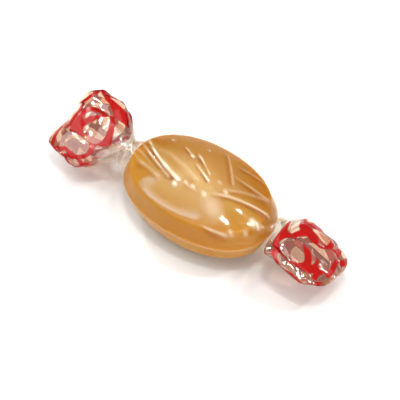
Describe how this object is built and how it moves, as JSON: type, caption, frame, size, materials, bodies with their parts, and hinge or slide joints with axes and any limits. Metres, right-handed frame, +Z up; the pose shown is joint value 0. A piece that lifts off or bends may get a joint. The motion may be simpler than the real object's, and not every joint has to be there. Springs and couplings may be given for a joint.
{
  "type": "wrapped barley sugar sweet",
  "caption": "Oval amber boiled sweet of barley sugar, rolled in clear film that is twisted shut at both ends and printed in red on the twists.",
  "frame": {"origin": "middle of the small flat spot of film under the sweet that it rests on", "axes": "+Z up, +X along the sweet towards its narrower twist, +Y across the sweet"},
  "size_m": [0.0552, 0.0196, 0.0137],
  "materials": {
    "boiled_sugar": "pressed boiled sugar, amber, clouded, glossy",
    "clear_film": "thin clear twist film, creased and glossy, printed in red at the ends"
  },
  "bodies": {
    "root": {"sweet": "boiled_sugar", "wrapper": "clear_film"}
  },
  "joints": []
}
